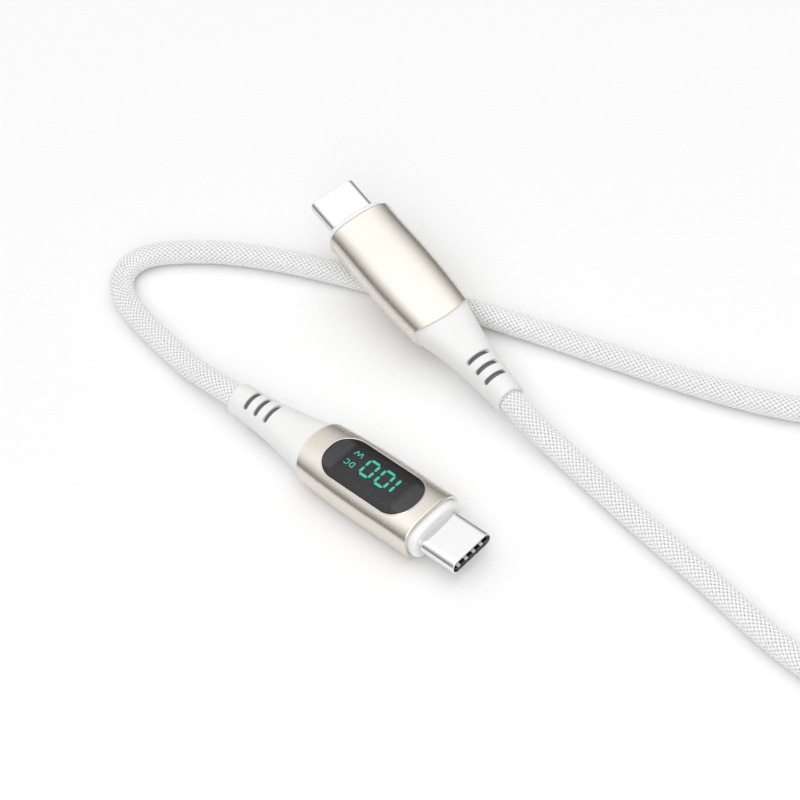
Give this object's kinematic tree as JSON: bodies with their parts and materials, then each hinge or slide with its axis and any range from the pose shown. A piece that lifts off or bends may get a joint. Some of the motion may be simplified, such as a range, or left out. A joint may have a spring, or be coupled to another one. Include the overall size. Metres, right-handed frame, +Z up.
{
  "type": "usb power meter lead",
  "caption": "Braided two-ended charging lead with a small lit power display built into the metal barrel of one plug.",
  "frame": {"origin": "under the middle of the display plug, on the surface that the lead lies on", "axes": "+X along the display plug towards its tip, +Z up out of the display window, +Y to the side where the cord loops back"},
  "size_m": [0.182, 0.0873, 0.0131],
  "materials": {
    "bright_steel": "polished",
    "spring_steel": "satin",
    "black_moulding": "matt moulded",
    "gold_plate": "polished plate",
    "white_gloss": "gloss",
    "pearl_nickel": "fine satin, pearl nickel",
    "smoked_window": "gloss, smoked",
    "black_seal": "matt",
    "lit_green": "lit from below",
    "dark_bar": "translucent, unlit",
    "lamp_body": "clear resin",
    "green_board": "solder mask",
    "chip_black": "matt moulded",
    "shunt_metal": "satin",
    "capacitor_tan": "ceramic",
    "soft_filling": "milky, soft",
    "white_boot": "smooth matt elastomer",
    "crimp_brass": "plain",
    "red_wire": "smooth",
    "black_wire": "smooth",
    "white_wire": "smooth",
    "blue_wire": "smooth",
    "white_braid": "fine diamond braid",
    "grey_strap": "woven hook and loop strap"
  },
  "bodies": {
    "root": {"barrel_shell": "pearl_nickel", "board_capacitors": "capacitor_tan", "cable_tie": "grey_strap", "circuit_board": "green_board", "contact_housing": "black_moulding", "cord_coil": "white_braid", "cord_display_run": "white_braid", "cord_plain_run": "white_braid", "crimp_ring": "crimp_brass", "current_shunt": "shunt_metal", "data_wires": "white_wire", "ground_springs": "spring_steel", "ground_wire": "black_wire", "inner_mould": "soft_filling", "lit_segments": "lit_green", "lower_contacts": "gold_plate", "marker_chip": "chip_black", "meter_chip": "chip_black", "mid_plate": "spring_steel", "nose_collar": "white_gloss", "plain_barrel_shell": "pearl_nickel", "plain_circuit_board": "green_board", "plain_contact_housing": "black_moulding", "plain_crimp_ring": "crimp_brass", "plain_data_wires": "white_wire", "plain_ground_springs": "spring_steel", "plain_ground_wire": "black_wire", "plain_inner_mould": "soft_filling", "plain_lower_contacts": "gold_plate", "plain_marker_chip": "chip_black", "plain_mid_plate": "spring_steel", "plain_nose_collar": "white_gloss", "plain_power_wire": "red_wire", "plain_signal_wire": "blue_wire", "plain_strain_relief": "white_boot", "plain_upper_contacts": "gold_plate", "plain_usb_shell": "bright_steel", "power_wire": "red_wire", "segment_housing": "black_moulding", "segment_leds": "lamp_body", "signal_wire": "blue_wire", "strain_relief": "white_boot", "unit_legend": "lit_green", "unlit_segments": "dark_bar", "upper_contacts": "gold_plate", "usb_shell": "bright_steel", "window_gasket": "black_seal", "window_lens": "smoked_window"},
    "left_latch_arm": {"left_latch_arm": "spring_steel"},
    "right_latch_arm": {"right_latch_arm": "spring_steel"},
    "plain_left_latch_arm": {"plain_left_latch_arm": "spring_steel"},
    "plain_right_latch_arm": {"plain_right_latch_arm": "spring_steel"}
  },
  "joints": [
    {"name": "left_latch", "type": "hinge", "parent": "root", "child": "left_latch_arm", "pos_m": [0.01715, 0.00339, 0.0035], "axis": [0, 0, 1], "range_deg": [0, 2.2], "stiffness_Nm_per_rad": 0.05},
    {"name": "right_latch", "type": "hinge", "parent": "root", "child": "right_latch_arm", "pos_m": [0.01715, -0.00339, 0.0035], "axis": [0, 0, -1], "range_deg": [0, 2.2], "stiffness_Nm_per_rad": 0.05},
    {"name": "plain_left_latch", "type": "hinge", "parent": "root", "child": "plain_left_latch_arm", "pos_m": [-0.03121, 0.03058, 0.00947], "axis": [0.1152, -0.1033, 0.988], "range_deg": [0, 2.2], "stiffness_Nm_per_rad": 0.05},
    {"name": "plain_right_latch", "type": "hinge", "parent": "root", "child": "plain_right_latch_arm", "pos_m": [-0.02963, 0.03716, 0.00997], "axis": [-0.1152, 0.1033, -0.988], "range_deg": [0, 2.2], "stiffness_Nm_per_rad": 0.05}
  ]
}
